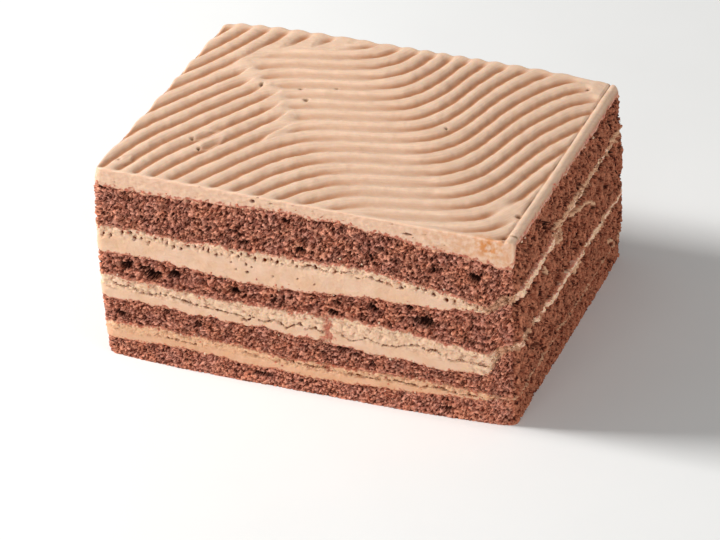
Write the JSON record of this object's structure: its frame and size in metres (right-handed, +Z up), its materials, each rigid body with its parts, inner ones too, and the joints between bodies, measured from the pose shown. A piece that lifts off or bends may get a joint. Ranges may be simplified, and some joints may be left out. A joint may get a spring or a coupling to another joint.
{
  "type": "chocolate cream cake",
  "caption": "Rectangular slab of layered cake: cocoa sponge and chocolate cream in turn, cut faces bare, with a wavy combed cream top.",
  "frame": {"origin": "middle of the underside, where the cake stands", "axes": "+Z up, -Y out of the long cut face, +X out of the trimmed short face"},
  "size_m": [0.1422, 0.1132, 0.0703],
  "materials": {
    "cocoa_sponge": "dry open crumb, matte, full of fine air holes",
    "chocolate_cream": "cut whipped chocolate cream, soft, slightly crumbly and pitted",
    "combed_cream": "smooth whipped chocolate cream with a soft satin surface, combed into rounded ridges"
  },
  "bodies": {
    "root": {"sponge_1": "cocoa_sponge", "filling_1": "chocolate_cream", "sponge_2": "cocoa_sponge", "filling_2": "chocolate_cream", "sponge_3": "cocoa_sponge", "filling_3": "chocolate_cream", "sponge_4": "cocoa_sponge", "combed_cream_top": "combed_cream"}
  },
  "joints": []
}
